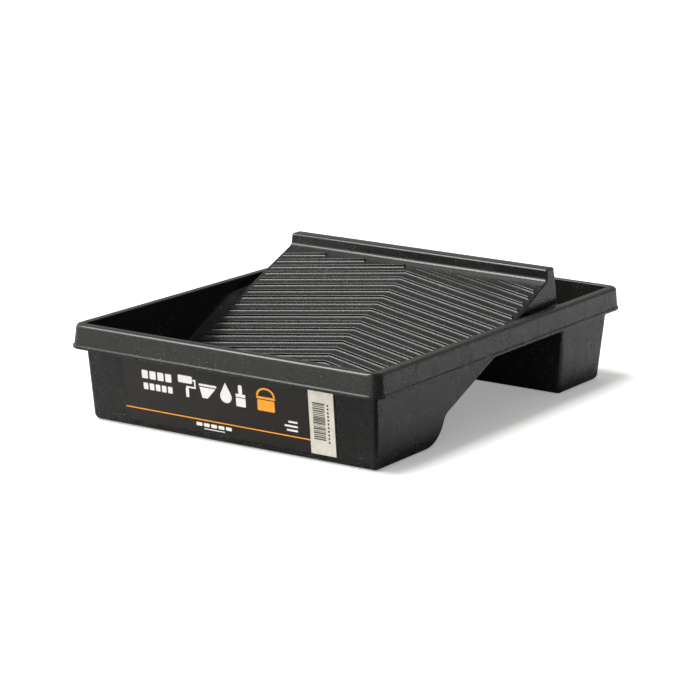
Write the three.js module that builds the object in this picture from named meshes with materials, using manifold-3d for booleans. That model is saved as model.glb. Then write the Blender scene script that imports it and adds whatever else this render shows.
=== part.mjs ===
// Paint roller tray for 250 mm rollers: one injection-moulded shell with a printed label on its
// front wall. Millimetres. X runs across the tray, Y from the paint well to the rear compartment,
// Z up. The origin is on the floor under the centre of the rim.
import * as THREE from 'three';
import { mergeVertices } from 'three/addons/utils/BufferGeometryUtils.js';
import Module from 'manifold-3d';

const wasm = await Module();
wasm.setup();

// ---- driving dimensions -------------------------------------------------------------------------
const WALL = 2; // thickness of the moulding

const RIM_HALF_WIDTH = 155; // over the skirt, at the top
const RIM_HALF_DEPTH = 224.5;
const RIM_HEIGHT = 88.5;
const RIM_CORNER = 10.5;
const RIM_EDGE = 2.4; // rounding of the rim's outer top edge

const SKIRT_DROP = 21.6; // how far the skirt hangs below the rim
const SKIRT_FLARE = 2.2; // how much wider it is at its lower edge
const BEAD_WIDTH = 1.2; // the bead stands this far out of the skirt
const BEAD_HEIGHT = 2.8;

const TUB_HALF_WIDTH = 145.8; // outer faces of the walls, where they meet the floor's plane
const TUB_FRONT = 204.2;
const TUB_BACK = 206.3;
const TUB_CORNER = 5;
const TUB_FILLET = 4.5; // between the walls and the floor
const SIDE_DRAFT = 2.9 / RIM_HEIGHT; // outward lean of each wall, in mm per mm of height
const FRONT_DRAFT = 14 / RIM_HEIGHT;
const BACK_DRAFT = 11.9 / RIM_HEIGHT;

const RAMP_SLOPE = Math.tan(THREE.MathUtils.degToRad(22.75));
const SUMP_CENTRE_Y = -119.5; // the paint well's rear wall is a quarter round
const SUMP_RADIUS = 26; // its inner radius
const SUMP_START_ANGLE = -0.3; // in radians: where the quarter round begins, from +Y
const NOSE_ROUND = 5; // between the paint well's rear wall and the ramp
const SHELF_START_Y = 23; // where the side shelves leave the ramp
const SHELF_SLOPE = 0.1;
const SHOULDER_START_Y = -66; // the ramp's margins rise from here to the shelves
const SHOULDER_END_Y = 9; // where a margin meets the shelf's level, at the wall
const SHOULDER_INNER_X = 137;
const SHOULDER_SUNK = 0.5; // a margin's foot lies this far inside the ramp

const LIP_FRONT_Y = 104.3; // upstand along the top of the ramp
const LIP_BASE_Z = 110.44;
const LIP_TOP_Z = 121.5;
const LIP_FILLET = 4; // between the ramp and the upstand
const LIP_EDGE = 2.2; // rounding of the upstand's top edges
const LIP_FILLET_RISE = 0.8; // how far the fillet climbs the upstand, as a share of LIP_FILLET
const RAISED_SUNK = 1; // the raised part's foot reaches this far under the shelves
const RAISED_HALF_WIDTH = 138; // raised part of the ramp, at the top of the upstand
const RAISED_DRAFT = 0.061;

const PARTITION_Y = 127.8; // rear face of the compartment's front wall, in the floor's plane
const PARTITION_DRAFT = 0.04;
const UPSTAND_LEAN = 0.125; // extra forward lean of the upstand's rear face above the rim

const RIB_PITCH = 10.93; // along the slope
const RIB_COUNT = 21;
const RIB_FIRST_APEX_Y = 117.9;
const RIB_SWEEP = 0.252; // fall along the slope per mm away from the centre
const RIB_HALF_FIELD = 136; // the ribs end here
const RIB_FIELD_FRONT_Y = -82;
const RIB_FIELD_BACK_Y = 96.3;
const RIB_HEIGHT = 2.4;
const RIB_BASE = 3.8;
const RIB_CREST = 1.4;
const RIB_SUNK = 0.4; // a rib's foot reaches this far into the ramp

const LABEL_WIDTH = 216;
const LABEL_LOW_Z = 6.5;
const LABEL_HIGH_Z = 66;
const LABEL_THICKNESS = 0.25;
const LABEL_GAP = 0.3; // adhesive layer

const ABOVE_ALL = 140; // a height clear of the whole tray
const BELOW_FLOOR = -5;
const BEYOND_SIDES = 180;
const BEYOND_ENDS = 300;

const EDGE_STEPS = 3; // straight pieces in a rounded edge
const CORNER_STEPS = 5; // in a rounded corner of the outline
const SIDE_VIEW_STEPS = 8; // in each curve of the side view
const SAME_PLACE = 1e-4; // points closer than this are one

// ---- helpers ------------------------------------------------------------------------------------
function toSolid(geometry) {
  geometry.deleteAttribute('normal');
  geometry.deleteAttribute('uv');
  const merged = mergeVertices(geometry, SAME_PLACE);
  return new wasm.Manifold(new wasm.Mesh({
    numProp: 3,
    vertProperties: new Float32Array(merged.attributes.position.array),
    triVerts: new Uint32Array(merged.index.array),
  }));
}

function toMesh(name, solid, material) {
  const data = solid.getMesh();
  const geometry = new THREE.BufferGeometry();
  geometry.setAttribute('position', new THREE.BufferAttribute(data.vertProperties, 3));
  geometry.setIndex(new THREE.BufferAttribute(data.triVerts, 1));
  geometry.computeVertexNormals();
  const mesh = new THREE.Mesh(geometry, material);
  mesh.name = name;
  return mesh;
}

function moveVertices(geometry, move) {
  const position = geometry.attributes.position;
  const point = new THREE.Vector3();
  for (let i = 0; i < position.count; i += 1) {
    point.fromBufferAttribute(position, i);
    move(point);
    position.setXYZ(i, point.x, point.y, point.z);
  }
  return geometry;
}

function roundedOutline(halfWidth, front, back, radius) {
  const shape = new THREE.Shape();
  const x = halfWidth - radius;
  shape.absarc(x, back - radius, radius, 0, Math.PI / 2);
  shape.absarc(-x, back - radius, radius, Math.PI / 2, Math.PI);
  shape.absarc(-x, radius - front, radius, Math.PI, Math.PI * 1.5);
  shape.absarc(x, radius - front, radius, Math.PI * 1.5, Math.PI * 2);
  return shape;
}

// Upright block from zLow to zHigh whose lower and upper edges are rounded by edgeRadius.
function roundedBlock(outline, zLow, zHigh, edgeRadius) {
  const geometry = new THREE.ExtrudeGeometry(outline, {
    depth: zHigh - zLow - 2 * edgeRadius,
    bevelEnabled: edgeRadius > 0,
    bevelThickness: edgeRadius,
    bevelSize: edgeRadius,
    bevelOffset: -edgeRadius,
    bevelSegments: EDGE_STEPS,
    curveSegments: CORNER_STEPS,
  });
  return geometry.translate(0, 0, zLow + edgeRadius);
}

// Solid with the side view drawn by shape, in (Y, Z), between -halfWidth and +halfWidth in X.
function acrossTray(shape, halfWidth) {
  const geometry = new THREE.ExtrudeGeometry(shape, {
    depth: 2 * halfWidth,
    bevelEnabled: false,
    curveSegments: SIDE_VIEW_STEPS,
  });
  const across = new THREE.Matrix4().makeBasis(
    new THREE.Vector3(0, 1, 0),
    new THREE.Vector3(0, 0, 1),
    new THREE.Vector3(1, 0, 0),
  );
  return geometry.translate(0, 0, -halfWidth).applyMatrix4(across);
}

function box(low, high) {
  const size = new THREE.Vector3().subVectors(high, low);
  const centre = new THREE.Vector3().addVectors(low, high).multiplyScalar(0.5);
  return toSolid(new THREE.BoxGeometry(size.x, size.y, size.z).translate(...centre));
}

// ---- the sheet's side view ------------------------------------------------------------------------
// Each height or place is for the upper face; depth moves it to the lower face of the sheet.
const acrossSlope = Math.sqrt(1 + RAMP_SLOPE ** 2);

function rampZ(y, depth) {
  return LIP_BASE_Z + (y - LIP_FRONT_Y) * RAMP_SLOPE - depth * acrossSlope;
}

function shelfZ(y, depth) {
  return rampZ(SHELF_START_Y, 0) + (y - SHELF_START_Y) * SHELF_SLOPE - depth;
}

function partitionY(z, depth) {
  const lean = Math.max(0, z - RIM_HEIGHT) * UPSTAND_LEAN;
  return PARTITION_Y - z * PARTITION_DRAFT - lean - depth;
}

// Where the ramp and a side shelf meet, on either face of the sheet.
function shelfStartY(depth) {
  return SHELF_START_Y + depth * (acrossSlope - 1) / (RAMP_SLOPE - SHELF_SLOPE);
}

// Everything under the sheet from the paint well to the compartment, without the raised part.
function underShelfShape(depth) {
  const radius = SUMP_RADIUS + depth;
  const centreZ = WALL + SUMP_RADIUS;
  const noseY = SUMP_CENTRE_Y + radius;
  const backZ = shelfZ(PARTITION_Y, depth);
  const shape = new THREE.Shape();
  shape.moveTo(SUMP_CENTRE_Y, BELOW_FLOOR);
  shape.lineTo(partitionY(BELOW_FLOOR, depth), BELOW_FLOOR);
  shape.lineTo(partitionY(backZ, depth), backZ);
  shape.lineTo(shelfStartY(depth), rampZ(shelfStartY(depth), depth));
  const noseZ = rampZ(noseY, depth);
  shape.lineTo(noseY + NOSE_ROUND, rampZ(noseY + NOSE_ROUND, depth));
  shape.quadraticCurveTo(noseY, noseZ, noseY, noseZ - NOSE_ROUND);
  shape.absarc(SUMP_CENTRE_Y, centreZ, radius, SUMP_START_ANGLE, -Math.PI / 2, true);
  return shape;
}

// The raised part of the ramp with its upstand, down into the space under the shelves.
function raisedShape(depth) {
  const front = LIP_FRONT_Y + depth;
  const top = LIP_TOP_Z - depth;
  const edge = LIP_EDGE - depth / 2;
  const fillet = LIP_FILLET + depth;
  const lowZ = shelfZ(PARTITION_Y, depth) - RAISED_SUNK;
  const shape = new THREE.Shape();
  shape.moveTo(shelfStartY(depth), rampZ(shelfStartY(depth), depth) - RAISED_SUNK / 2);
  shape.lineTo(partitionY(lowZ, depth), lowZ);
  shape.lineTo(partitionY(RIM_HEIGHT, depth), RIM_HEIGHT);
  shape.lineTo(partitionY(top - edge, depth), top - edge);
  shape.quadraticCurveTo(partitionY(top, depth), top, partitionY(top, depth) - edge, top);
  shape.lineTo(front + edge, top);
  shape.quadraticCurveTo(front, top, front, top - edge);
  shape.lineTo(front, rampZ(front, depth) + fillet * LIP_FILLET_RISE);
  shape.quadraticCurveTo(front, rampZ(front, depth), front - fillet, rampZ(front - fillet, depth));
  shape.lineTo(shelfStartY(depth), rampZ(shelfStartY(depth), depth));
  return shape;
}

// ---- sub-shapes of the moulding --------------------------------------------------------------------
function tubBlock(inset, floorZ, fillet) {
  const outline = roundedOutline(
    TUB_HALF_WIDTH - inset,
    TUB_FRONT - inset,
    TUB_BACK - inset,
    TUB_CORNER - inset / 2,
  );
  const block = roundedBlock(outline, floorZ, ABOVE_ALL, fillet);
  return toSolid(moveVertices(block, (point) => {
    point.x += Math.sign(point.x) * SIDE_DRAFT * point.z;
    point.y += (point.y < 0 ? -FRONT_DRAFT : BACK_DRAFT) * point.z;
  }));
}

function skirtBlock(inset, zLow, zHigh, edgeRadius) {
  const outline = roundedOutline(
    RIM_HALF_WIDTH - inset,
    RIM_HALF_DEPTH - inset,
    RIM_HALF_DEPTH - inset,
    RIM_CORNER - inset,
  );
  const flare = SKIRT_FLARE / SKIRT_DROP;
  return toSolid(moveVertices(roundedBlock(outline, zLow, zHigh, edgeRadius), (point) => {
    point.x += Math.sign(point.x) * flare * (RIM_HEIGHT - point.z);
    point.y += Math.sign(point.y) * flare * (RIM_HEIGHT - point.z);
  }));
}

function raisedBlock(depth) {
  const halfWidth = RAISED_HALF_WIDTH - depth;
  const geometry = acrossTray(raisedShape(depth), halfWidth);
  return toSolid(moveVertices(geometry, (point) => {
    point.x = Math.sign(point.x) * (halfWidth + (LIP_TOP_Z - point.z) * RAISED_DRAFT);
  }));
}

function underSheet(depth, halfWidth) {
  return toSolid(acrossTray(underShelfShape(depth), halfWidth)).add(raisedBlock(depth));
}

function makeRim(opening) {
  const skirtLow = RIM_HEIGHT - SKIRT_DROP;
  const below = box(
    new THREE.Vector3(-BEYOND_SIDES, -BEYOND_ENDS, BELOW_FLOOR),
    new THREE.Vector3(BEYOND_SIDES, BEYOND_ENDS, skirtLow),
  );
  return skirtBlock(0, skirtLow - 2 * RIM_EDGE, RIM_HEIGHT, RIM_EDGE)
    .subtract(below)
    .add(skirtBlock(-BEAD_WIDTH, skirtLow, skirtLow + BEAD_HEIGHT, BEAD_HEIGHT / 3))
    .subtract(skirtBlock(WALL, BELOW_FLOOR, RIM_HEIGHT - WALL, 0))
    .subtract(opening);
}

function makeTub(opening) {
  const overRim = box(
    new THREE.Vector3(-BEYOND_SIDES, -BEYOND_ENDS, RIM_HEIGHT - WALL / 2),
    new THREE.Vector3(BEYOND_SIDES, BEYOND_ENDS, ABOVE_ALL + WALL),
  );
  return tubBlock(0, 0, TUB_FILLET).subtract(overRim).subtract(opening);
}

// Wedge that lifts the ramp's margin from its plane, at its inner side, to the shelf at the wall.
function makeShoulder(side) {
  const shape = new THREE.Shape();
  shape.moveTo(SHOULDER_START_Y, rampZ(SHOULDER_START_Y, SHOULDER_SUNK));
  shape.lineTo(SHELF_START_Y, rampZ(SHELF_START_Y, SHOULDER_SUNK));
  shape.lineTo(SHELF_START_Y, rampZ(SHELF_START_Y, 0));
  shape.lineTo(SHOULDER_END_Y, shelfZ(SHOULDER_END_Y, 0));
  shape.lineTo(SHOULDER_START_Y, rampZ(SHOULDER_START_Y, 0));
  const wedge = acrossTray(shape, TUB_HALF_WIDTH);
  return toSolid(moveVertices(wedge, (point) => {
    const inner = point.x * side < 0;
    point.x = side * (inner ? SHOULDER_INNER_X : TUB_HALF_WIDTH + WALL / 2);
    if (inner) point.z = Math.min(point.z, rampZ(point.y, SHOULDER_SUNK / 2));
  }));
}

// One leg of a chevron, lying along +X on the ramp's face from its centre line.
function ribLeg(side) {
  const section = new THREE.Shape();
  section.moveTo(-RIB_BASE / 2, -RIB_SUNK);
  section.lineTo(RIB_BASE / 2, -RIB_SUNK);
  section.lineTo(RIB_BASE / 2, 0);
  section.lineTo(RIB_CREST / 2, RIB_HEIGHT);
  section.lineTo(-RIB_CREST / 2, RIB_HEIGHT);
  section.lineTo(-RIB_BASE / 2, 0);
  const length = RIB_HALF_FIELD * Math.hypot(1, RIB_SWEEP);
  const leg = new THREE.ExtrudeGeometry(section, { depth: length, bevelEnabled: false });
  const along = new THREE.Vector3(side, -RIB_SWEEP, 0).normalize();
  const up = new THREE.Vector3(0, 0, 1);
  const sideways = new THREE.Vector3().crossVectors(up, along);
  return leg.applyMatrix4(new THREE.Matrix4().makeBasis(sideways, up, along));
}

function makeRibs() {
  const run = 1 / acrossSlope;
  const ontoRamp = new THREE.Matrix4().makeRotationX(Math.atan(RAMP_SLOPE));
  let ribs = null;
  for (let i = 0; i < RIB_COUNT; i += 1) {
    const apexY = RIB_FIRST_APEX_Y - i * RIB_PITCH * run;
    for (const side of [-1, 1]) {
      const leg = ribLeg(side).applyMatrix4(ontoRamp).translate(0, apexY, rampZ(apexY, 0));
      ribs = ribs ? ribs.add(toSolid(leg)) : toSolid(leg);
    }
  }
  const field = box(
    new THREE.Vector3(-RIB_HALF_FIELD, RIB_FIELD_FRONT_Y, 0),
    new THREE.Vector3(RIB_HALF_FIELD, RIB_FIELD_BACK_Y, ABOVE_ALL),
  );
  return ribs.intersect(field);
}

function makeMoulding() {
  const opening = tubBlock(WALL, WALL, TUB_FILLET - WALL);
  const hollow = underSheet(WALL, BEYOND_SIDES);
  const sheet = underSheet(0, BEYOND_SIDES)
    .add(makeShoulder(-1))
    .add(makeShoulder(1))
    .intersect(tubBlock(WALL / 2, 0, TUB_FILLET - WALL / 2))
    .add(makeRibs());
  return makeTub(opening).add(sheet).subtract(hollow).add(makeRim(opening));
}

// ---- the label ------------------------------------------------------------------------------------
function makeLabel() {
  const faceY = (z) => -TUB_FRONT - FRONT_DRAFT * z - LABEL_GAP;
  const section = new THREE.Shape();
  section.moveTo(faceY(LABEL_LOW_Z), LABEL_LOW_Z);
  section.lineTo(faceY(LABEL_HIGH_Z), LABEL_HIGH_Z);
  section.lineTo(faceY(LABEL_HIGH_Z) - LABEL_THICKNESS, LABEL_HIGH_Z);
  section.lineTo(faceY(LABEL_LOW_Z) - LABEL_THICKNESS, LABEL_LOW_Z);
  return toSolid(acrossTray(section, LABEL_WIDTH / 2));
}

// ---- assembly ---------------------------------------------------------------------------------------
const blackPlastic = new THREE.MeshStandardMaterial({
  color: 0x2c2c2b,
  roughness: 0.45,
  metalness: 0,
});
const labelFilm = new THREE.MeshStandardMaterial({
  color: 0x1e1814,
  roughness: 0.4,
  metalness: 0,
});

const tray = new THREE.Group();
tray.add(toMesh('tray_moulding', makeMoulding(), blackPlastic));
tray.add(toMesh('front_label', makeLabel(), labelFilm));

export default tray;
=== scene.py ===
"""Paint roller tray: the fine moulding, its printed label, a pale studio and the camera.

Lengths of the object are in millimetres, in the CAD frame, and become metres as each mesh is made.
"""

import math
from collections import namedtuple

import bmesh
import bpy
import numpy as np
from mathutils import Matrix, Vector


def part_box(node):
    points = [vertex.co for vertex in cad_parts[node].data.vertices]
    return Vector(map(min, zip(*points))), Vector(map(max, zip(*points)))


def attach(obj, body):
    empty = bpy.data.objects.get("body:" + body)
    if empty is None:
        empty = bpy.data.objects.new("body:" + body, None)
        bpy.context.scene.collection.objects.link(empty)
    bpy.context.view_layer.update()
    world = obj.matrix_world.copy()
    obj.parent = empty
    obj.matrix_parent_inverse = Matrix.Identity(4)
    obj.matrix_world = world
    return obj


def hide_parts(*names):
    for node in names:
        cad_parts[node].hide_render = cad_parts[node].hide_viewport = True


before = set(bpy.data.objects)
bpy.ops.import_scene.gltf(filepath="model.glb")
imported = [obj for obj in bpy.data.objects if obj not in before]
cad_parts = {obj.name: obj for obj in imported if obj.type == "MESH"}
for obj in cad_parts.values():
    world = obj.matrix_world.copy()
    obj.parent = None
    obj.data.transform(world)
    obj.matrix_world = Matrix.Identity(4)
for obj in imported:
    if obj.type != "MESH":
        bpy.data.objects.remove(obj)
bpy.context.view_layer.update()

MM = 0.001

# ---- driving dimensions, as in the CAD source where nothing else is said ------------------------
TRAY_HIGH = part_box("tray_moulding")[1] / MM

WALL = 2.0  # thickness of the moulding
RIM_HALF_WIDTH = 155.0  # over the skirt, at the top
RIM_HALF_DEPTH = 224.5
RIM_HEIGHT = 88.5
RIM_CORNER = 10.5
RIM_EDGE = 3.2  # rounding of the rim's outer top edge, fuller than in the CAD source
RIM_INNER_EDGE = 0.8  # the CAD source leaves this edge sharp
RIM_UNDER_EDGE = 1.2  # under the rim, where it turns into the skirt
RIM_ROOT_EDGE = 1.0  # under the rim, where it meets the tub's outside
RIM_SMALLEST_CORNER = 1.5
RIM_RUN = 10.0  # rows that climb an end wall reach the side rim this far from its corner
SKIRT_LOW = 66.9  # height of the skirt's lower edge
SKIRT_FLARE = 2.2 / (RIM_HEIGHT - SKIRT_LOW)  # outward lean, in mm per mm of height
BEAD_HEIGHT = 2.8
BEAD_CLEARANCE = 0.1  # the bead stays this far inside the CAD model's box
BEAD_OUT = TRAY_HIGH.x - RIM_HALF_WIDTH - BEAD_CLEARANCE
BEAD_STEP_RISE = 0.4  # the bead's upper face falls this much on its way out
BEAD_STEP_IN = 0.15
BEAD_ROOT_ROUND = 0.5
BEAD_TOP_ROUND = 0.7
BEAD_LOW_ROUND = 0.8
SKIRT_INNER_ROUND = 0.6

TUB_HALF_WIDTH = 145.8  # outer faces of the walls, where they meet the floor's plane
TUB_FRONT = 204.2
TUB_BACK = 206.3
SIDE_DRAFT = 2.9 / RIM_HEIGHT  # outward lean of each wall, in mm per mm of height
FRONT_DRAFT = 14.0 / RIM_HEIGHT
BACK_DRAFT = 11.9 / RIM_HEIGHT

RAMP_SLOPE = math.tan(math.radians(22.75))
SUMP_CENTRE_Y = -119.5  # the paint well's rear wall is a quarter round
SUMP_RADIUS = 26.0
NOSE_ROUND = 5.0  # between the paint well's rear wall and the ramp
SHELF_START_Y = 23.0  # where the side shelves leave the ramp
SHELF_SLOPE = 0.1
SHELF_EDGE = 1.2  # rounding of the shelf's rear edge
SHOULDER_START_Y = -66.0  # the ramp's margins rise from here to the shelves
SHOULDER_END_Y = 9.0
SHOULDER_INNER_X = 137.0

LIP_FRONT_Y = 104.3  # upstand along the top of the ramp
LIP_BASE_Z = 110.44
LIP_TOP_Z = 121.5
LIP_FILLET = 4.0  # between the ramp and the upstand
LIP_EDGE = 2.2  # rounding of the upstand's top edges
RAISED_HALF_WIDTH = 138.0  # raised part of the ramp, at the top of the upstand
RAISED_DRAFT = 0.061
PARTITION_Y = 127.8  # rear face of the compartment's front wall, in the floor's plane
PARTITION_DRAFT = 0.04
UPSTAND_LEAN = 0.125  # extra forward lean of the upstand's rear face above the rim
RAISED_ROWS = (0.2, 0.4, 0.6, 0.8)  # rows of points up the raised ramp, as shares of its length

RIB_PITCH = 10.93  # along the slope
RIB_COUNT = 21
RIB_FIRST_APEX_Y = 117.9
RIB_SWEEP = 0.252  # fall along the slope per mm away from the centre
RIB_HALF_FIELD = 136.0  # the ribs end here
RIB_FIELD_FRONT_Y = -82.0
RIB_FIELD_BACK_Y = 96.3

ARC_STEPS = 6  # straight pieces in each rounded corner
FADE_ROWS = 3 * ARC_STEPS  # rows over which the well's side rounding becomes the ramp's
TINY = 1e-9
ACROSS_SLOPE = math.hypot(1, RAMP_SLOPE)

# One face of the sheet: its depth, the height where it ends under the rim, and its roundings
Skin = namedtuple("Skin", "depth top floor corner margin raised_edge raised_foot")
UPPER = Skin(
    depth=0.0,
    top=RIM_HEIGHT - RIM_INNER_EDGE,
    floor=4.2,
    corner=4.0,
    margin=2.0,
    raised_edge=1.6,
    raised_foot=1.6,
)
LOWER = Skin(
    depth=WALL,
    top=RIM_HEIGHT - WALL - RIM_ROOT_EDGE,
    floor=6.2,
    corner=5.0,
    margin=1.0,
    raised_edge=1.0,
    raised_foot=1.0,
)


# ---- curves --------------------------------------------------------------------------------------
def unit(vector):
    return vector / max(np.linalg.norm(vector), TINY)


def bend(start, corner, end, weight=math.sqrt(0.5), steps=ARC_STEPS):
    """Points of the conic from start to end whose end tangents meet at corner."""
    start, corner, end = (np.asarray(point, float) for point in (start, corner, end))
    points = []
    for t in np.linspace(0, 1, steps + 1):
        a, b, c = (1 - t) ** 2, 2 * t * (1 - t) * weight, t * t
        points.append((a * start + b * corner + c * end) / (a + b + c))
    return points


def rounded(corners):
    """Polyline through corners (u, v, radius), each one with a radius drawn as an arc."""
    points = [np.array(corners[0][:2], float)]
    for before, here, after in zip(corners, corners[1:], corners[2:]):
        corner = np.array(here[:2], float)
        if here[2] == 0:
            points.append(corner)
            continue
        back = unit(np.array(before[:2], float) - corner)
        ahead = unit(np.array(after[:2], float) - corner)
        cosine = float(back @ ahead)
        reach = here[2] / math.sqrt((1 - cosine) / (1 + cosine))
        weight = math.sqrt((1 - cosine) / 2)
        points += bend(corner + back * reach, corner, corner + ahead * reach, weight)
    points.append(np.array(corners[-1][:2], float))
    return points


def travelled(points):
    """Share of the polyline's length at each of its points, from 0 to 1."""
    steps = np.linalg.norm(np.diff(points, axis=0), axis=1)
    length = np.concatenate([[0], np.cumsum(steps)])
    return length / length[-1]


def side_normals(points):
    """Unit normals of a side view that runs towards +Y, pointing up or to its left."""
    ahead = np.gradient(points, axis=0)
    normals = np.stack([-ahead[:, 1], ahead[:, 0]], axis=1)
    return normals / np.maximum(np.linalg.norm(normals, axis=1, keepdims=True), TINY)


# ---- faces of the sheet: depth 0 is its upper face, depth WALL its lower face --------------------
def front_y(z, depth):
    return WALL - depth - TUB_FRONT - FRONT_DRAFT * z


def back_y(z, depth):
    return TUB_BACK + BACK_DRAFT * z - WALL + depth


def side_x(z, depth):
    return TUB_HALF_WIDTH + SIDE_DRAFT * z - WALL + depth


def ramp_z(y, depth):
    return LIP_BASE_Z + (y - LIP_FRONT_Y) * RAMP_SLOPE - depth * ACROSS_SLOPE


def shelf_z(y, depth):
    return ramp_z(SHELF_START_Y, 0) + (y - SHELF_START_Y) * SHELF_SLOPE - depth


def partition_y(z, depth):
    lean = max(0, z - RIM_HEIGHT) * UPSTAND_LEAN
    return PARTITION_Y - z * PARTITION_DRAFT - lean - depth


def raised_x(z, depth):
    return RAISED_HALF_WIDTH - depth + (LIP_TOP_Z - z) * RAISED_DRAFT


# ---- side views of one face of the sheet, zone by zone, each from front to back ------------------
def well_path(depth, top, floor_round):
    floor = WALL - depth
    radius = SUMP_RADIUS + depth
    centre_z = WALL + SUMP_RADIUS
    nose_y = SUMP_CENTRE_Y + radius
    nose_z = ramp_z(nose_y, depth)
    wall = rounded([
        (front_y(top, depth), top, 0),
        (front_y(floor, depth), floor, floor_round),
        (SUMP_CENTRE_Y, floor, 0),
    ])
    last = math.acos((centre_z - nose_z + NOSE_ROUND) / radius)
    quarter = [
        np.array([SUMP_CENTRE_Y + radius * math.sin(a), centre_z - radius * math.cos(a)])
        for a in np.linspace(0, last, 2 * ARC_STEPS)[1:]
    ]
    ramp_end = (nose_y + NOSE_ROUND, ramp_z(nose_y + NOSE_ROUND, depth))
    nose = bend(quarter[-1], (nose_y, nose_z), ramp_end)
    return wall + quarter + nose[1:]


def shelf_start_y(depth):
    return SHELF_START_Y + depth * (ACROSS_SLOPE - 1) / (RAMP_SLOPE - SHELF_SLOPE)


def ramp_path(depth):
    middle = (SHOULDER_START_Y + SHOULDER_END_Y) / 2
    places = (SHOULDER_START_Y, middle, SHOULDER_END_Y)
    return [np.array([y, ramp_z(y, depth)]) for y in places]


def shoulder_path(depth):
    """The ramp's margin at the wall: on the upper face it climbs to the shelf's level."""
    if depth > 0:
        return ramp_path(depth)
    start = np.array([SHOULDER_START_Y, ramp_z(SHOULDER_START_Y, 0)])
    end = np.array([SHOULDER_END_Y, shelf_z(SHOULDER_END_Y, 0)])
    return [start, (start + end) / 2, end]


def raised_paths(depth):
    """The raised part with its upstand, and the shelf beside it, point for point."""
    start_y = shelf_start_y(depth)
    start = (start_y, ramp_z(start_y, depth))
    front = LIP_FRONT_Y + depth
    top = LIP_TOP_Z - depth
    edge = LIP_EDGE - depth / 2
    shelf_back_z = shelf_z(partition_y(RIM_HEIGHT, depth), depth)
    shelf_back = (partition_y(shelf_back_z, depth), shelf_back_z)
    below = shelf_back_z - 2 * SHELF_EDGE
    end = (partition_y(below, depth), below)
    between = [start_y + (front - start_y) * share for share in RAISED_ROWS]
    raised = rounded(
        [(*start, 0)]
        + [(y, ramp_z(y, depth), 0) for y in between]
        + [
            (front, ramp_z(front, depth), LIP_FILLET + depth),
            (front, top, edge),
            (partition_y(top, depth), top, edge),
            (partition_y(RIM_HEIGHT, depth), RIM_HEIGHT, 0),
        ]
    )
    shelf = rounded([(*start, 0), (*shelf_back, SHELF_EDGE), (*end, 0)])
    shelf_end = shelf[1]
    rear = np.linspace(raised[-1], end, len(shelf))[1:]
    reach = np.maximum.accumulate([point[0] for point in raised])
    share = ((reach - reach[0]) / (reach[-1] - reach[0]))[:, None]
    beside = (1 - share) * np.array(start) + share * shelf_end
    return raised + list(rear), list(beside) + shelf[2:] + [np.array(end)]


def compartment_path(depth, top, floor_round, start):
    floor = WALL - depth
    return rounded([
        (start[0], start[1], 0),
        (partition_y(floor, depth), floor, floor_round),
        (back_y(floor, depth), floor, floor_round),
        (back_y(top, depth), top, 0),
    ])[1:]


# ---- the moulding --------------------------------------------------------------------------------
def rim_places(skin, wall_y, well, behind):
    """Y of each row on the side rim: the rows that climb an end wall are spread out along it."""
    places = wall_y.copy()
    start = front_y(skin.top, skin.depth) + RIM_RUN
    places[: len(well)] = start + travelled(well) * (well[-1][0] - start)
    shares = travelled(behind)
    end = back_y(skin.top, skin.depth) - RIM_RUN
    turn = places[-len(shares)]
    places[-len(shares) :] = turn + shares * (end - turn)
    return places


def wall_rounds(skin, rows, well_rows, compartment_rows):
    """Rounding of each row where it meets the side wall."""
    rounds = np.full(rows, skin.margin)
    rounds[:well_rows] = skin.corner
    rounds[well_rows - FADE_ROWS : well_rows] = np.linspace(skin.corner, skin.margin, FADE_ROWS)
    rounds[-compartment_rows:] = skin.corner
    return rounds


def skin_rows(skin):
    """Rows of points across the tray, from its front rim to its back rim."""
    depth = skin.depth
    well = well_path(depth, skin.top, skin.floor)
    ramp = ramp_path(depth)
    raised, shelf = raised_paths(depth)
    compartment = compartment_path(depth, skin.top, skin.floor, raised[-1])

    middle = np.array(well + ramp + raised + compartment)
    beside = np.array(well + ramp + shelf + compartment)
    at_wall = np.array(well + shoulder_path(depth) + shelf + compartment)
    first_raised = len(well) + len(ramp)
    last_raised = first_raised + len(raised) - 1

    rim_y = rim_places(skin, at_wall[:, 0], well, [raised[-1]] + compartment)
    wall_round = wall_rounds(skin, len(middle), len(well), len(compartment))
    normals = [side_normals(path) for path in (middle, beside, at_wall)]
    rows = []
    for i in range(len(middle)):
        is_raised = first_raised <= i <= last_raised
        height = np.linalg.norm(middle[i] - beside[i])
        half_row = raised_half_row(
            skin, middle[i], beside[i], normals[0][i], normals[1][i],
            min(skin.raised_edge, height / 2), min(skin.raised_foot, height / 2), is_raised,
        )
        rim = np.array([rim_y[i], skin.top])
        reach = np.linalg.norm(rim - at_wall[i])
        half_row += wall_half_row(skin, at_wall[i], normals[2][i], rim, min(wall_round[i], reach / 2))
        mirrored = [point * np.array([-1, 1, 1]) for point in reversed(half_row[1:])]
        rows.append(mirrored + half_row)
    return rows


def raised_half_row(skin, raised, beside, normal, beside_normal, edge, foot, is_raised):
    """From the middle of the tray over the raised part's edge and down to the shelf beside it."""

    def place(point, outward=0.0):
        x = raised_x(point[1], skin.depth) if is_raised else SHOULDER_INNER_X
        return np.array([x + outward, point[0], point[1]])

    over_edge = bend(place(raised, -edge), place(raised), place(raised - normal * edge))
    to_shelf = bend(place(beside + beside_normal * foot), place(beside), place(beside, foot))
    return [np.array([0, *raised])] + over_edge + to_shelf


def wall_half_row(skin, foot, normal, rim, radius):
    """Round the corner at the side wall's foot and up to the rim."""

    def on_wall(point, outward=0.0):
        return np.array([side_x(point[1], skin.depth) + outward, point[0], point[1]])

    return bend(on_wall(foot, -radius), on_wall(foot), on_wall(foot + normal * radius)) + [on_wall(rim)]


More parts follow.
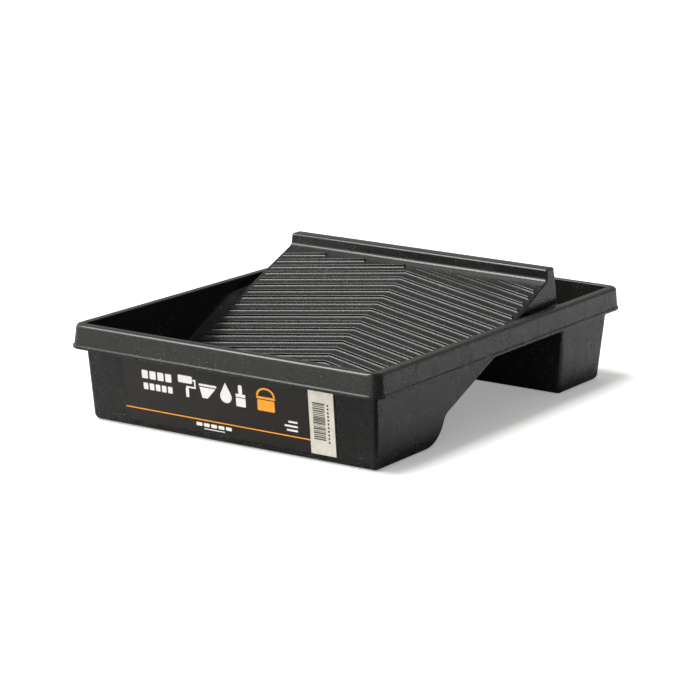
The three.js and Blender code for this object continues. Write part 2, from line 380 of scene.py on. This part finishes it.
def rim_section():
    """Section of the rim and skirt from the well's edge, over, down, and back to the tub's outside."""
    inner = side_x(RIM_HEIGHT, 0) - RIM_HALF_WIDTH
    outer = side_x(LOWER.top, WALL) - RIM_HALF_WIDTH
    bead_top = SKIRT_LOW + BEAD_HEIGHT
    skirt_at_bead = SKIRT_FLARE * (RIM_HEIGHT - bead_top)
    skirt_at_low = SKIRT_FLARE * (RIM_HEIGHT - SKIRT_LOW)
    under_rim = RIM_HEIGHT - WALL
    return rounded([
        (inner, UPPER.top, 0),
        (inner, RIM_HEIGHT, RIM_INNER_EDGE),
        (0, RIM_HEIGHT, RIM_EDGE),
        (skirt_at_bead, bead_top + BEAD_STEP_RISE, BEAD_ROOT_ROUND),
        (BEAD_OUT - BEAD_STEP_IN, bead_top, BEAD_TOP_ROUND),
        (BEAD_OUT, SKIRT_LOW, BEAD_LOW_ROUND),
        (skirt_at_low - WALL, SKIRT_LOW, SKIRT_INNER_ROUND),
        (-WALL, under_rim, RIM_UNDER_EDGE),
        (outer, under_rim, RIM_ROOT_EDGE),
        (outer, LOWER.top, 0),
    ])[1:-1]


def rim_ring(loop, offset, z):
    """The rim's inner loop moved out to a rounded rectangle, offset from the rim's outer size."""
    corner = UPPER.corner
    straight = np.array([side_x(UPPER.top, 0), back_y(UPPER.top, 0)]) - corner
    radius = max(RIM_CORNER + offset, RIM_SMALLEST_CORNER)
    size = np.array([RIM_HALF_WIDTH, RIM_HALF_DEPTH]) + offset - radius
    flat = loop[:, :2]
    nearest = np.clip(flat, -straight, straight)
    moved = nearest * size / straight + (flat - nearest) / corner * radius
    return np.column_stack([moved, np.full(len(loop), z)])


def loop_indices(rows, columns, first):
    """Indices of the grid's outline, once round."""
    front = [first + c for c in range(columns)]
    right = [first + r * columns + columns - 1 for r in range(1, rows)]
    back = [first + (rows - 1) * columns + c for c in range(columns - 2, -1, -1)]
    left = [first + r * columns for r in range(rows - 2, 0, -1)]
    return front + right + back + left


def moulding_mesh():
    points, faces, loops = [], [], []
    for skin in (UPPER, LOWER):
        grid = skin_rows(skin)
        rows, columns = len(grid), len(grid[0])
        first = len(points)
        points += [point for row in grid for point in row]
        for r in range(rows - 1):
            for c in range(columns - 1):
                corner = first + r * columns + c
                faces.append((corner, corner + 1, corner + columns + 1, corner + columns))
        loops.append(loop_indices(rows, columns, first))
    inner_loop = np.array([points[i] for i in loops[0]])
    previous = loops[0]
    rings = [rim_ring(inner_loop, offset, z) for offset, z in rim_section()]
    for ring in rings + [None]:
        if ring is None:
            current = loops[1]
        else:
            current = list(range(len(points), len(points) + len(ring)))
            points += list(ring)
        count = len(current)
        for k in range(count):
            after = (k + 1) % count
            faces.append((previous[k], previous[after], current[after], current[k]))
        previous = current
    return points, faces


# ---- ribs ----------------------------------------------------------------------------------------
RIB_HEIGHT = 2.4
RIB_HALF_CREST = 0.8
RIB_CREST_EDGE = 0.75
RIB_FOOT_FILLET = 1.6
RIB_SUNK = 0.3  # how far a rib's foot reaches into the ramp
RIB_END = 1.0  # length of a rib's rounded end
RIB_TIP_WIDTH = 0.35  # width of a rib at its very tip, as a share of its full width
RIB_TIP_ANGLE = 0.08  # in radians: where the quarter round of its end begins
RIB_CREST_STEPS = 3
RIB_FILLET_STEPS = 5
RIB_END_STEPS = 5
RIB_OBLIQUE = math.hypot(1, RIB_SWEEP)  # a rib's width along the slope, per mm across it


def rib_section():
    """Half of a rib's section, crest to foot: (distance across it, height over the ramp)."""
    foot = RIB_HALF_CREST + RIB_FOOT_FILLET
    crest = bend(
        (RIB_HALF_CREST - RIB_CREST_EDGE, RIB_HEIGHT),
        (RIB_HALF_CREST, RIB_HEIGHT),
        (RIB_HALF_CREST, RIB_HEIGHT - RIB_CREST_EDGE),
        steps=RIB_CREST_STEPS,
    )
    fillet = bend(
        (RIB_HALF_CREST, RIB_FOOT_FILLET),
        (RIB_HALF_CREST, 0),
        (foot, 0),
        steps=RIB_FILLET_STEPS,
    )
    return [(0, RIB_HEIGHT), *crest, *fillet, (foot + RIB_SUNK, -RIB_SUNK)]


def rib_legs():
    """(apex Y, nearest X, farthest X) of each leg, cut off where the ribbed field ends."""
    legs = []
    fall = RIB_SWEEP / ACROSS_SLOPE
    for i in range(RIB_COUNT):
        apex_y = RIB_FIRST_APEX_Y - i * RIB_PITCH / ACROSS_SLOPE
        near = max(0.0, (apex_y - RIB_FIELD_BACK_Y) / fall)
        far = min(RIB_HALF_FIELD, (apex_y - RIB_FIELD_FRONT_Y) / fall)
        if far - near > 2 * RIB_END:
            legs.append((apex_y, near, far))
    return legs


def rib_runs(near, far):
    """Runs of (X, share of the full section) along the ribs at one apex, rounded off at their ends."""
    angles = np.linspace(RIB_TIP_ANGLE, math.pi / 2, RIB_END_STEPS)
    swell = [(RIB_END * (1 - math.cos(angle)), math.sin(angle)) for angle in angles]
    outer = [(far - run, share) for run, share in swell]
    if near > 0:
        right = [(near + run, share) for run, share in swell] + outer[::-1]
        return [right, [(-x, share) for x, share in reversed(right)]]
    return [[(-x, share) for x, share in outer] + [(0.0, 1.0)] + outer[::-1]]


def rib_point(apex_y, x, share, across, height):
    """Where a point of the section lies in the tray, at a place where the rib has a share of its size."""
    width = RIB_TIP_WIDTH + (1 - RIB_TIP_WIDTH) * share
    along = across * RIB_OBLIQUE * width - RIB_SWEEP * abs(x)
    rise = height * share if height > 0 else height
    y = apex_y + (along - rise * RAMP_SLOPE) / ACROSS_SLOPE
    z = ramp_z(apex_y, 0) + (along * RAMP_SLOPE + rise) / ACROSS_SLOPE
    return np.array([x, y, z])


def rib_mesh():
    points, faces = [], []
    half = rib_section()
    section = [(-across, height) for across, height in reversed(half)] + half[1:]
    width = len(section)
    for apex_y, near, far in rib_legs():
        for run in rib_runs(near, far):
            first = len(points)
            for x, share in run:
                points += [rib_point(apex_y, x, share, across, height) for across, height in section]
            last = len(points) - width
            for a in range(first, last, width):
                for k in range(width):
                    after = (k + 1) % width
                    faces.append((a + k, a + after, a + width + after, a + width + k))
            faces.append(tuple(first + k for k in range(width)))
            faces.append(tuple(last + k for k in reversed(range(width))))
    return points, faces


# ---- mesh helpers --------------------------------------------------------------------------------
SAME_PLACE = 1e-6  # metres
TOO_SHORT = 1e-7
SHARP_DEGREES = {"shell": 50, "ribs": 60, "print": 20}  # edges that turn more than this stay sharp
FLAT_WEIGHT = 80


def make_piece(name, points, faces, material, slot, sharp_degrees):
    mesh = bpy.data.meshes.new(name)
    mesh.from_pydata([tuple(point * MM) for point in points], [], faces)
    shape = bmesh.new()
    shape.from_mesh(mesh)
    bmesh.ops.remove_doubles(shape, verts=shape.verts, dist=SAME_PLACE)
    bmesh.ops.dissolve_degenerate(shape, edges=shape.edges, dist=TOO_SHORT)
    bmesh.ops.recalc_face_normals(shape, faces=shape.faces)
    shape.to_mesh(mesh)
    shape.free()
    mesh.polygons.foreach_set("use_smooth", [True] * len(mesh.polygons))
    mesh.set_sharp_from_angle(angle=math.radians(sharp_degrees))
    piece = bpy.data.objects.new(name, mesh)
    bpy.context.scene.collection.objects.link(piece)
    mesh.materials.append(material)
    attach(piece, "root")
    return piece


def keep_flats_flat(piece):
    """Large faces keep their own shading, so that only the roundings turn the light."""
    modifier = piece.modifiers.new("flat faces", "WEIGHTED_NORMAL")
    modifier.keep_sharp = True
    modifier.weight = FLAT_WEIGHT


# ---- materials: noise scales in cycles per metre, bumps in metres --------------------------------
NOISE_SPAN = (0.3, 0.7)  # most of a noise's values lie between these

PLASTIC_BODY = ((0.0090, 0.0093, 0.0088), (0.0125, 0.0126, 0.0118))
PLASTIC_IOR = 1.46
CLOUD_SCALE = 14.0
FLECK_COLOUR = (0.19, 0.19, 0.175)
FLECK_SCALE = 700.0
FLECK_SIZE = 0.24  # as a share of a cell
FLECK_RARITY = 0.80  # share of the cells that hold none
CLUSTER_SCALE = 28.0
CLUSTER_SPAN = (0.5, 0.62)
FLOW_SCALE = 6.0
FLOW_STRETCH = (9.0, 9.0, 0.8)  # flow marks run up and down the walls
FLOW_ROUGHNESS = (0.22, 0.29)
FLOW_BUMP = 0.00005
GRAIN_SCALE = 900.0
GRAIN_ROUGHNESS = (-0.02, 0.02)
GRAIN_BUMP = 0.0000015

INK_DENSITY_SCALE = 260.0
INK_DENSITY_SPAN = (0.35, 0.65)
INK_GRAIN_SCALE = 1500.0
INK_GRAIN_ROUGHNESS = 0.05
INK_GRAIN_BUMP = 0.00001
INK_ROUGHNESS = 0.42
FILM_ROUGHNESS = 0.36


class Nodes:
    """A material's node tree, with short calls for the nodes that are used here."""

    def __init__(self, name):
        self.material = bpy.data.materials.new(name)
        self.material.use_nodes = True
        self.tree = self.material.node_tree
        self.shader = self.tree.nodes["Principled BSDF"]
        coordinates = self.tree.nodes.new("ShaderNodeTexCoord")
        self.place = coordinates.outputs["Object"]

    def join(self, output, socket):
        self.tree.links.new(output, socket)

    def stretched(self, scale):
        node = self.tree.nodes.new("ShaderNodeMapping")
        node.inputs["Scale"].default_value = scale
        self.join(self.place, node.inputs["Vector"])
        return node.outputs["Vector"]

    def noise(self, scale, detail=2.0, vector=None):
        node = self.tree.nodes.new("ShaderNodeTexNoise")
        node.inputs["Scale"].default_value = scale
        node.inputs["Detail"].default_value = detail
        self.join(vector or self.place, node.inputs["Vector"])
        return node.outputs["Fac"]

    def cells(self, scale):
        node = self.tree.nodes.new("ShaderNodeTexVoronoi")
        node.inputs["Scale"].default_value = scale
        self.join(self.place, node.inputs["Vector"])
        return node.outputs["Distance"], node.outputs["Color"]

    def math(self, operation, a, b):
        node = self.tree.nodes.new("ShaderNodeMath")
        node.operation = operation
        for socket, value in zip(node.inputs, (a, b)):
            if isinstance(value, (int, float)):
                socket.default_value = value
            else:
                self.join(value, socket)
        return node.outputs[0]

    def remap(self, value, span, to=(0.0, 1.0)):
        node = self.tree.nodes.new("ShaderNodeMapRange")
        self.join(value, node.inputs["Value"])
        node.inputs["From Min"].default_value, node.inputs["From Max"].default_value = span
        node.inputs["To Min"].default_value, node.inputs["To Max"].default_value = to
        return node.outputs["Result"]

    def mix(self, factor, first, second):
        node = self.tree.nodes.new("ShaderNodeMix")
        node.data_type = "RGBA"
        self.join(factor, node.inputs["Factor"])
        for name, value in (("A", first), ("B", second)):
            socket = next(s for s in node.inputs if s.name == name and s.type == "RGBA")
            if isinstance(value, tuple):
                socket.default_value = (*value, 1)
            else:
                self.join(value, socket)
        return next(s for s in node.outputs if s.type == "RGBA")

    def bump(self, height, distance, before=None):
        node = self.tree.nodes.new("ShaderNodeBump")
        node.inputs["Distance"].default_value = distance
        self.join(height, node.inputs["Height"])
        if before:
            self.join(before, node.inputs["Normal"])
        return node.outputs["Normal"]


def flecks(nodes):
    """Mask of small specks, one in a few of the cells, gathered in loose clusters."""
    distance, colour = nodes.cells(FLECK_SCALE)
    channel = nodes.tree.nodes.new("ShaderNodeSeparateColor")
    nodes.join(colour, channel.inputs["Color"])
    chosen = nodes.math("GREATER_THAN", channel.outputs["Red"], FLECK_RARITY)
    speck = nodes.math("LESS_THAN", distance, FLECK_SIZE)
    cluster = nodes.remap(nodes.noise(CLUSTER_SCALE, 1.0), CLUSTER_SPAN)
    return nodes.math("MULTIPLY", nodes.math("MULTIPLY", chosen, speck), cluster)


def black_plastic():
    """Satin black recycled polypropylene: pale flecks, a fine grain and slight flow marks."""
    nodes = Nodes("recycled_black_plastic")
    cloudy = nodes.remap(nodes.noise(CLOUD_SCALE, 4.0), NOISE_SPAN)
    body = nodes.mix(cloudy, *PLASTIC_BODY)
    nodes.join(nodes.mix(flecks(nodes), body, FLECK_COLOUR), nodes.shader.inputs["Base Color"])
    flow = nodes.noise(FLOW_SCALE, 3.0, nodes.stretched(FLOW_STRETCH))
    grain = nodes.noise(GRAIN_SCALE)
    streaky = nodes.remap(flow, NOISE_SPAN, FLOW_ROUGHNESS)
    grainy = nodes.remap(grain, NOISE_SPAN, GRAIN_ROUGHNESS)
    nodes.join(nodes.math("ADD", streaky, grainy), nodes.shader.inputs["Roughness"])
    nodes.shader.inputs["IOR"].default_value = PLASTIC_IOR
    wavy = nodes.bump(flow, FLOW_BUMP, nodes.bump(grain, GRAIN_BUMP))
    nodes.join(wavy, nodes.shader.inputs["Normal"])
    return nodes.material


def print_ink(name, colour, darker, roughness=INK_ROUGHNESS):
    """Ink on the label's film, slightly uneven in density."""
    nodes = Nodes(name)
    density = nodes.remap(nodes.noise(INK_DENSITY_SCALE, 3.0), INK_DENSITY_SPAN)
    nodes.join(nodes.mix(density, darker, colour), nodes.shader.inputs["Base Color"])
    grain = nodes.noise(INK_GRAIN_SCALE)
    rough = (roughness - INK_GRAIN_ROUGHNESS, roughness + INK_GRAIN_ROUGHNESS)
    nodes.join(nodes.remap(grain, NOISE_SPAN, rough), nodes.shader.inputs["Roughness"])
    nodes.join(nodes.bump(grain, INK_GRAIN_BUMP), nodes.shader.inputs["Normal"])
    return nodes.material


# ---- the label's print: (X, Z) in millimetres on the front wall ----------------------------------
LABEL_LOW, LABEL_HIGH = (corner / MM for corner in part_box("front_label"))
LABEL_THICKNESS = LABEL_HIGH.y - LABEL_LOW.y - FRONT_DRAFT * (LABEL_HIGH.z - LABEL_LOW.z)
LABEL_GAP = 0.3  # adhesive layer
INK_THICKNESS = 0.03
INK_LIFT = 0.5  # gap under the lowest layer of ink, as a share of its thickness
PRINT_MARGIN = 0.3  # from the panel's ends to the film's edges

FILM_INK = ((0.0135, 0.0105, 0.0085), (0.0105, 0.0085, 0.0070))
WHITE_INK = ((0.82, 0.81, 0.79), (0.76, 0.75, 0.73))
PANEL_INK = ((0.66, 0.63, 0.55), (0.58, 0.55, 0.48))
ORANGE_INK = ((0.93, 0.36, 0.016), (0.86, 0.32, 0.013))
BLACK_INK = ((0.035, 0.035, 0.034), (0.028, 0.028, 0.027))

PANEL_LEFT = 82.3
PANEL_RIGHT = 107.0
RULE = (LABEL_LOW.x + 0.4, 18.0, PANEL_LEFT - 0.2, 19.0)

# Rows of plain blocks: (left, pitch, width, low, high, rounding, count)
UPPER_BLOCKS = (-88, 8.2, 6.4, 47.5, 55, 0.8, 4)
MIDDLE_BLOCKS = (-87, 6.4, 4.8, 37.5, 43.5, 0.7, 5)
LOWER_BLOCKS = (-34, 7.6, 6, 12.6, 15.8, 0.8, 5)
UNDERLINE = (-26, 10.2, -5, 11.0)
NOTE_RIGHT = 70
NOTE_THICKNESS = 1.7
NOTE_ROUND = 0.3
NOTE_LINES = ((9, 30.6), (13, 26.8), (11, 23))  # (length, low)

CODE_LEFT = 86.0
CODE_RIGHT = 98.0
CODE_LOW = 20.0
CODE_HIGH = 54.0
CODE_LAST = 53.0  # no bar begins above this
CODE_BARS = (0.4, 0.8, 1.2)
CODE_GAPS = (0.4, 0.8)
TICK = (100.2, 18.0, 101.9, 19.9)
TICK_PITCH = 3.3
TICK_COUNT = 11

# Signs, each drawn on a grid of its own, this many units high. Bars: (left, low, right, high, rounding)
SIGN_GRID = 20
SIGN_LOW = 37
SIGN_SIZE = 19.5
CAN_PLACE = (30, 37)
CAN_SIZE = 21
QUARTER_POINTS = 5
ROLLER_BARS = (
    (0, 13, 15, 20, 1.2),
    (15.6, 15.8, 18.6, 17.4),
    (17, 10.6, 18.6, 15.8),
    (8.4, 9, 18.6, 10.6),
    (7.7, 0, 11, 9, 1.2),
)
TRAY_BODY = ((0, 12), (2.4, 2), (8, 2), (17, 12))
TRAY_RIM = (-0.6, 13, 18, 15, 0.6)
DROP_CENTRE = (6, 7)
DROP_RADIUS = 6
DROP_ARC = (-205, 25)  # degrees
DROP_POINTS = 22
DROP_TIP = (6, 20)
BRUSH_BARS = (
    (0, 0, 10, 8, 0.8),
    (0, 8.8, 10, 11.6),
    (3, 11.6, 7, 20, 1.4),
)
CAN_BARS = (
    (0.8, 0, 17.2, 9.4, 1),
    (0, 10.2, 18, 12.2, 0.6),
)
BAIL_CENTRE = (9, 12.6)
BAIL_OUTER = (9, 7.4)
BAIL_INNER = (7.2, 5.8)
BAIL_POINTS = 19


def label_point(x, z, lift):
    return np.array([x, front_y(z, WALL) - LABEL_THICKNESS - LABEL_GAP - lift, z])


def print_mesh(outlines, layer):
    """Thin raised ink for each outline, given as (X, Z) points on the label, on its layer."""
    points, faces = [], []
    low = (layer + INK_LIFT) * INK_THICKNESS
    for outline in outlines:
        first, count = len(points), len(outline)
        points += [label_point(x, z, low) for x, z in outline]
        points += [label_point(x, z, low + INK_THICKNESS) for x, z in outline]
        faces.append(tuple(range(first, first + count)))
        faces.append(tuple(reversed(range(first + count, first + 2 * count))))
        for k in range(count):
            after = (k + 1) % count
            faces.append((first + k, first + after, first + count + after, first + count + k))
    return points, faces


def arc(centre, radii, angles):
    return [(centre[0] + radii[0] * math.cos(a), centre[1] + radii[1] * math.sin(a)) for a in angles]


def bar(x_low, z_low, x_high, z_high, radius=0.0):
    if radius == 0:
        return [(x_low, z_low), (x_high, z_low), (x_high, z_high), (x_low, z_high)]
    centres = (
        (x_high - radius, z_high - radius),
        (x_low + radius, z_high - radius),
        (x_low + radius, z_low + radius),
        (x_high - radius, z_low + radius),
    )
    outline = []
    for quarter, centre in enumerate(centres):
        angles = np.linspace(quarter, quarter + 1, QUARTER_POINTS) * math.pi / 2
        outline += arc(centre, (radius, radius), angles)
    return outline


def blocks(left, pitch, width, low, high, rounding, count):
    places = [left + pitch * k for k in range(count)]
    return [bar(x, low, x + width, high, rounding) for x in places]


def on_label(outlines, x, z, size):
    """Outlines drawn on the sign grid, moved to their place on the label."""
    scale = size / SIGN_GRID
    return [[(x + u * scale, z + v * scale) for u, v in outline] for outline in outlines]


def roller_sign():
    """A plain paint roller: sleeve, cranked frame and grip."""
    return [bar(*part) for part in ROLLER_BARS]


def tray_sign():
    """A plain paint tray seen from its side."""
    return [TRAY_BODY, bar(*TRAY_RIM)]


def drop_sign():
    angles = np.linspace(*(math.radians(angle) for angle in DROP_ARC), DROP_POINTS)
    return [arc(DROP_CENTRE, (DROP_RADIUS, DROP_RADIUS), angles) + [DROP_TIP]]


def brush_sign():
    """A plain flat brush: bristles, ferrule and handle."""
    return [bar(*part) for part in BRUSH_BARS]


def can_sign():
    """A plain paint can: body, lid and bail handle."""
    angles = np.linspace(0, math.pi, BAIL_POINTS)
    bail = arc(BAIL_CENTRE, BAIL_OUTER, angles) + arc(BAIL_CENTRE, BAIL_INNER, angles[::-1])
    return [bar(*part) for part in CAN_BARS] + [bail]


def code_bars():
    """Stacked bars of uneven thickness, which encode nothing, and a column of ticks beside them."""
    rng = np.random.default_rng(7)
    bars, z = [], CODE_LOW
    while z < CODE_LAST:
        thickness = rng.choice(CODE_BARS)
        bars.append(bar(CODE_LEFT, z, CODE_RIGHT, min(z + thickness, CODE_HIGH)))
        z += thickness + rng.choice(CODE_GAPS)
    left, low, right, high = TICK
    rises = [TICK_PITCH * k for k in range(TICK_COUNT)]
    return bars + [bar(left, low + rise, right, high + rise) for rise in rises]


def white_print():
    shapes = blocks(*UPPER_BLOCKS) + blocks(*MIDDLE_BLOCKS)
    signs = ((roller_sign, -50), (tray_sign, -28), (drop_sign, -7), (brush_sign, 9))
    for sign, x in signs:
        shapes += on_label(sign(), x, SIGN_LOW, SIGN_SIZE)
    shapes += blocks(*LOWER_BLOCKS) + [bar(*UNDERLINE)]
    for length, low in NOTE_LINES:
        shapes.append(bar(NOTE_RIGHT - length, low, NOTE_RIGHT, low + NOTE_THICKNESS, NOTE_ROUND))
    return shapes


def make_label():
    film = print_ink("label_film_print", *FILM_INK, FILM_ROUGHNESS)
    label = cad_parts["front_label"]
    label.data.materials.clear()
    label.data.materials.append(film)
    panel = [bar(PANEL_LEFT, LABEL_LOW.z + PRINT_MARGIN, PANEL_RIGHT, LABEL_HIGH.z - PRINT_MARGIN)]
    orange = [bar(*RULE)] + on_label(can_sign(), *CAN_PLACE, CAN_SIZE)
    white_ink = print_ink("white_ink", *WHITE_INK)
    panel_ink = print_ink("panel_ink", *PANEL_INK)
    orange_ink = print_ink("orange_ink", *ORANGE_INK)
    black_ink = print_ink("black_ink", *BLACK_INK)
    prints = (
        ("label_print_panel", panel, 0, panel_ink),
        ("label_print_white", white_print(), 0, white_ink),
        ("label_print_orange", orange, 0, orange_ink),
        ("label_print_black", code_bars(), 1, black_ink),
    )
    for name, outlines, layer, ink in prints:
        make_piece(name, *print_mesh(outlines, layer), ink, "label_film", SHARP_DEGREES["print"])


# ---- studio and camera, in metres ----------------------------------------------------------------
FLOOR_HALF_SIZE = 14.0
FLOOR_Z = -0.0002
FLOOR_TONES = ((0.93, 0.93, 0.93), (0.95, 0.95, 0.95))
FLOOR_TONE_SCALE = 0.8
FLOOR_ROUGHNESS = 0.9
FLOOR_LIFT = 0.30  # light that the floor adds to its own shadow

KEY_STRENGTH = 2.3
KEY_SPREAD = math.radians(24)
TOWARDS_KEY = (-0.18, -0.26, 0.95)

SOFTBOX_PLACE = (-0.55, -0.72, 1.30)
SOFTBOX_AIM = (0, -0.1, 0.09)
SOFTBOX_SIZE = (0.55, 1.3)
SOFTBOX_RADIANCE = 16

# Painted shade: colour of the gloss-only films and sector that darken the floor's reflections
PAINTED_SHADE_COLOUR = (0.002, 0.002, 0.002, 1)
FILM_HALF_SIZE = 3.0
SECTOR_Z = 0.0015
SECTOR_RADIUS = 4.0
SECTOR_ANGLES = (-52, 40)  # degrees
SECTOR_POINTS = 13

# Painted shade: dark films on the floor, seen in the gloss alone, which darken the floor's reflections:
# (place, fade, cover near and far)
GLOSS_FILMS = (
    ((0.0, 0.0, 0.0005), (0.5, 1.5), (0.45, 0.25)),
    ((0.12, -0.30, 0.0010), (0.06, 0.28), (0.5, 0.0)),
)

# Soft walls of light round the studio: (direction, cosine where it begins, where it is full, strength)
LIGHT_WALLS = (
    ((-0.75, -0.66, 0.0), 0.0, 0.75, 1.9),
    ((0.50, 0.86, 0.05), 0.55, 0.98, 0.30),
    ((-0.50, 0.42, 0.75), 0.5, 0.95, 0.18),
    ((-0.50, 0.83, 0.22), 0.8, 0.97, 0.12),
)
ROOM_LIGHT = 0.09
ROOM_COLOUR = (1.0, 0.99, 0.95, 1)

CAMERA_AZIMUTH = math.radians(30.97)
CAMERA_ELEVATION = math.radians(13.21)
CAMERA_ROLL = math.radians(1.62)
CAMERA_DISTANCE = 2.6177
CAMERA_AIM = Vector((-0.0064, 0.0, 0.0444))
CAMERA_LENS = 147.36  # mm, on a sensor 36 mm wide
CAMERA_SENSOR = 36


def stage_piece(name, mesh, material, place=(0, 0, 0)):
    """A thing of the studio, which isn't part of the object."""
    mesh.materials.append(material)
    thing = bpy.data.objects.new(name, mesh)
    thing.location = place
    bpy.context.scene.collection.objects.link(thing)
    return thing


def stage_plane(name, material, half_size, place):
    shape = bmesh.new()
    bmesh.ops.create_grid(shape, x_segments=1, y_segments=1, size=half_size)
    mesh = bpy.data.meshes.new(name)
    shape.to_mesh(mesh)
    shape.free()
    return stage_piece(name, mesh, material, place)


def make_floor():
    nodes = Nodes("studio_floor")
    tone = nodes.remap(nodes.noise(FLOOR_TONE_SCALE), NOISE_SPAN)
    nodes.join(nodes.mix(tone, *FLOOR_TONES), nodes.shader.inputs["Base Color"])
    nodes.shader.inputs["Roughness"].default_value = FLOOR_ROUGHNESS
    nodes.shader.inputs["Specular IOR Level"].default_value = 0.0
    nodes.shader.inputs["Emission Color"].default_value = (1, 1, 1, 1)
    seen = nodes.tree.nodes.new("ShaderNodeLightPath").outputs["Is Camera Ray"]
    nodes.join(nodes.math("MULTIPLY", seen, FLOOR_LIFT), nodes.shader.inputs["Emission Strength"])
    stage_plane("studio_floor", nodes.material, FLOOR_HALF_SIZE, (0, 0, FLOOR_Z))


def soft_box():
    """A softbox that shows in the gloss alone: the key light does the rest."""
    width, height = SOFTBOX_SIZE
    data = bpy.data.lights.new("top_softbox", "AREA")
    data.shape = "RECTANGLE"
    data.size, data.size_y = width, height
    data.energy = SOFTBOX_RADIANCE * math.pi * width * height
    light = bpy.data.objects.new("top_softbox", data)
    light.location = SOFTBOX_PLACE
    ahead = Vector(SOFTBOX_AIM) - Vector(SOFTBOX_PLACE)
    light.rotation_euler = ahead.to_track_quat("-Z", "Y").to_euler()
    light.visible_diffuse = False
    bpy.context.scene.collection.objects.link(light)


def key_light():
    """Even, soft light from above and a little to the left, which casts the floor's shadow."""
    data = bpy.data.lights.new("key", "SUN")
    data.energy = KEY_STRENGTH
    data.angle = KEY_SPREAD
    light = bpy.data.objects.new("key", data)
    light.rotation_euler = Vector(TOWARDS_KEY).to_track_quat("Z", "Y").to_euler()
    light.visible_glossy = False
    bpy.context.scene.collection.objects.link(light)


def only_in_gloss(thing):
    thing.visible_camera = False
    thing.visible_diffuse = False
    thing.visible_shadow = False


# Material for painted shade: a dark sheet that is seen in the gloss alone
def painted_shade_nodes(name):
    nodes = Nodes(name)
    nodes.shader.inputs["Base Color"].default_value = PAINTED_SHADE_COLOUR
    nodes.shader.inputs["Specular IOR Level"].default_value = 0.0
    return nodes


def gloss_film(place, fade, cover):
    """Painted shade: a dark film over the floor, seen in the gloss alone, which darkens the floor's
    reflection; its cover changes with the distance.
    """
    nodes = painted_shade_nodes("painted_shade_film")
    distance = nodes.tree.nodes.new("ShaderNodeVectorMath")
    distance.operation = "LENGTH"
    nodes.join(nodes.place, distance.inputs[0])
    nodes.join(nodes.remap(distance.outputs["Value"], fade, cover), nodes.shader.inputs["Alpha"])
    only_in_gloss(stage_plane("painted_shade_film", nodes.material, FILM_HALF_SIZE, place))


def gloss_sector():
    """Painted shade: a dark sector on the floor about the tray's front right corner, seen in the gloss
    alone, which darkens the reflections there.
    """
    x, y = RIM_HALF_WIDTH * MM, -RIM_HALF_DEPTH * MM
    angles = [math.radians(angle) for angle in np.linspace(*SECTOR_ANGLES, SECTOR_POINTS)]
    outline = [(x, y)] + arc((x, y), (SECTOR_RADIUS, SECTOR_RADIUS), angles)
    mesh = bpy.data.meshes.new("painted_shade_card")
    mesh.from_pydata([(*point, SECTOR_Z) for point in outline], [], [tuple(range(len(outline)))])
    only_in_gloss(stage_piece("painted_shade_card", mesh, painted_shade_nodes("painted_shade_card").material))


def make_world():
    world = bpy.data.worlds.new("studio")
    world.use_nodes = True
    tree = world.node_tree
    background = tree.nodes["Background"]
    background.inputs["Color"].default_value = ROOM_COLOUR
    direction = tree.nodes.new("ShaderNodeTexCoord").outputs["Generated"]
    total = None
    for towards, begins, full, strength in LIGHT_WALLS:
        along = tree.nodes.new("ShaderNodeVectorMath")
        along.operation = "DOT_PRODUCT"
        along.inputs[1].default_value = Vector(towards).normalized()
        tree.links.new(direction, along.inputs[0])
        spread = tree.nodes.new("ShaderNodeMapRange")
        spread.interpolation_type = "SMOOTHSTEP"
        spread.inputs["From Min"].default_value = begins
        spread.inputs["From Max"].default_value = full
        spread.inputs["To Max"].default_value = strength
        tree.links.new(along.outputs["Value"], spread.inputs["Value"])
        add = tree.nodes.new("ShaderNodeMath")
        tree.links.new(spread.outputs["Result"], add.inputs[0])
        if total:
            tree.links.new(total, add.inputs[1])
        else:
            add.inputs[1].default_value = ROOM_LIGHT
        total = add.outputs[0]
    tree.links.new(total, background.inputs["Strength"])
    bpy.context.scene.world = world


def make_lights():
    make_world()
    key_light()
    # Painted shade in the gloss: dark films that darken the floor's reflections
    for film in GLOSS_FILMS:
        gloss_film(*film)
    # Painted shade in the gloss about the tray's front right corner
    gloss_sector()
    soft_box()
    bpy.context.scene.view_settings.view_transform = "Standard"


def make_camera():
    level = Vector((math.cos(CAMERA_AZIMUTH), math.sin(CAMERA_AZIMUTH), 0))
    ahead = Vector((
        -math.sin(CAMERA_AZIMUTH) * math.cos(CAMERA_ELEVATION),
        math.cos(CAMERA_AZIMUTH) * math.cos(CAMERA_ELEVATION),
        -math.sin(CAMERA_ELEVATION),
    ))
    above = level.cross(ahead)
    right = level * math.cos(CAMERA_ROLL) + above * math.sin(CAMERA_ROLL)
    up = above * math.cos(CAMERA_ROLL) - level * math.sin(CAMERA_ROLL)
    data = bpy.data.cameras.new("camera")
    data.lens = CAMERA_LENS
    data.sensor_width = CAMERA_SENSOR
    camera = bpy.data.objects.new("camera", data)
    turn = Matrix((right, up, -ahead)).transposed()
    camera.matrix_world = Matrix.Translation(CAMERA_AIM - ahead * CAMERA_DISTANCE) @ turn.to_4x4()
    bpy.context.scene.collection.objects.link(camera)
    bpy.context.scene.camera = camera


# ---- the scene -----------------------------------------------------------------------------------
def make_moulding():
    plastic = black_plastic()
    shell = make_piece("tray_shell", *moulding_mesh(), plastic, "black_plastic", SHARP_DEGREES["shell"])
    keep_flats_flat(shell)
    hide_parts("tray_moulding")
    ribs = make_piece("ramp_ribs", *rib_mesh(), plastic, "black_plastic", SHARP_DEGREES["ribs"])
    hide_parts("tray_moulding")


make_camera()
make_moulding()
make_label()
make_floor()
make_lights()
